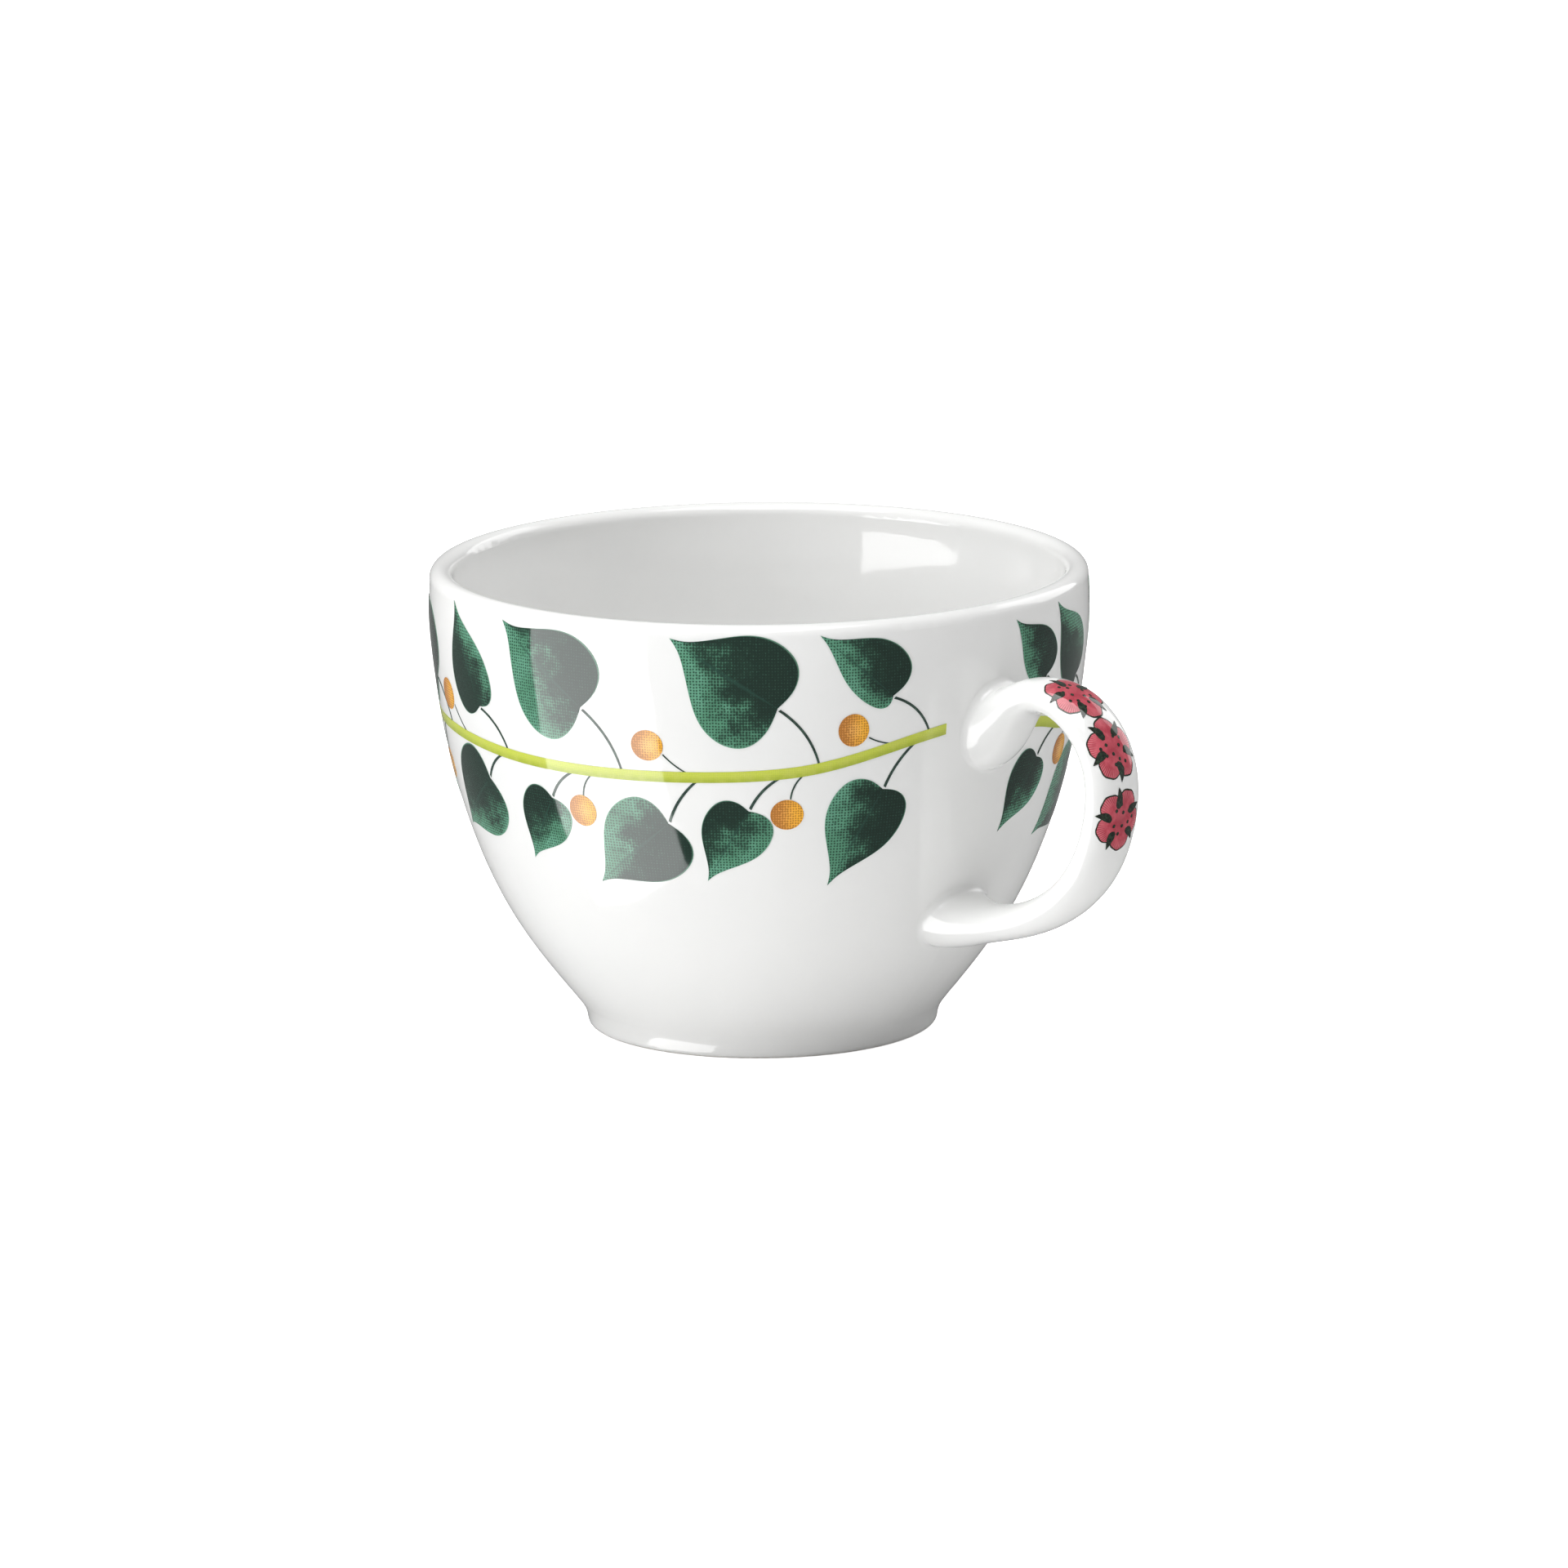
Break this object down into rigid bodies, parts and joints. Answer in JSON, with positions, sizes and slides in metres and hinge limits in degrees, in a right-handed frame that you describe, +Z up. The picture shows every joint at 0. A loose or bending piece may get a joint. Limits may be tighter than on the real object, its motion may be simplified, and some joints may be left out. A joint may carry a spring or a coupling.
{
  "type": "teacup",
  "caption": "White glazed teacup with a flared bowl, rolled lip, low foot ring and C-shaped handle, printed with a leaf, berry and flower garland.",
  "frame": {"origin": "on the cup's axis in the plane the foot ring stands on", "axes": "+Z up along the cup's axis, +X out through the middle of the handle"},
  "size_m": [0.1156, 0.0923, 0.0655],
  "materials": {
    "white_glaze": "gloss",
    "lime_enamel": "gloss",
    "green_enamel": "gloss",
    "stalk_enamel": "gloss",
    "orange_enamel": "gloss",
    "rose_enamel": "gloss"
  },
  "bodies": {
    "root": {"cup_bowl": "white_glaze", "handle": "white_glaze", "upper_slip_joint": "white_glaze", "lower_slip_joint": "white_glaze", "branch_print": "lime_enamel", "upper_leaf_prints": "green_enamel", "lower_leaf_prints": "green_enamel", "stalk_prints": "stalk_enamel", "berry_prints": "orange_enamel", "flower_prints": "rose_enamel"}
  },
  "joints": []
}
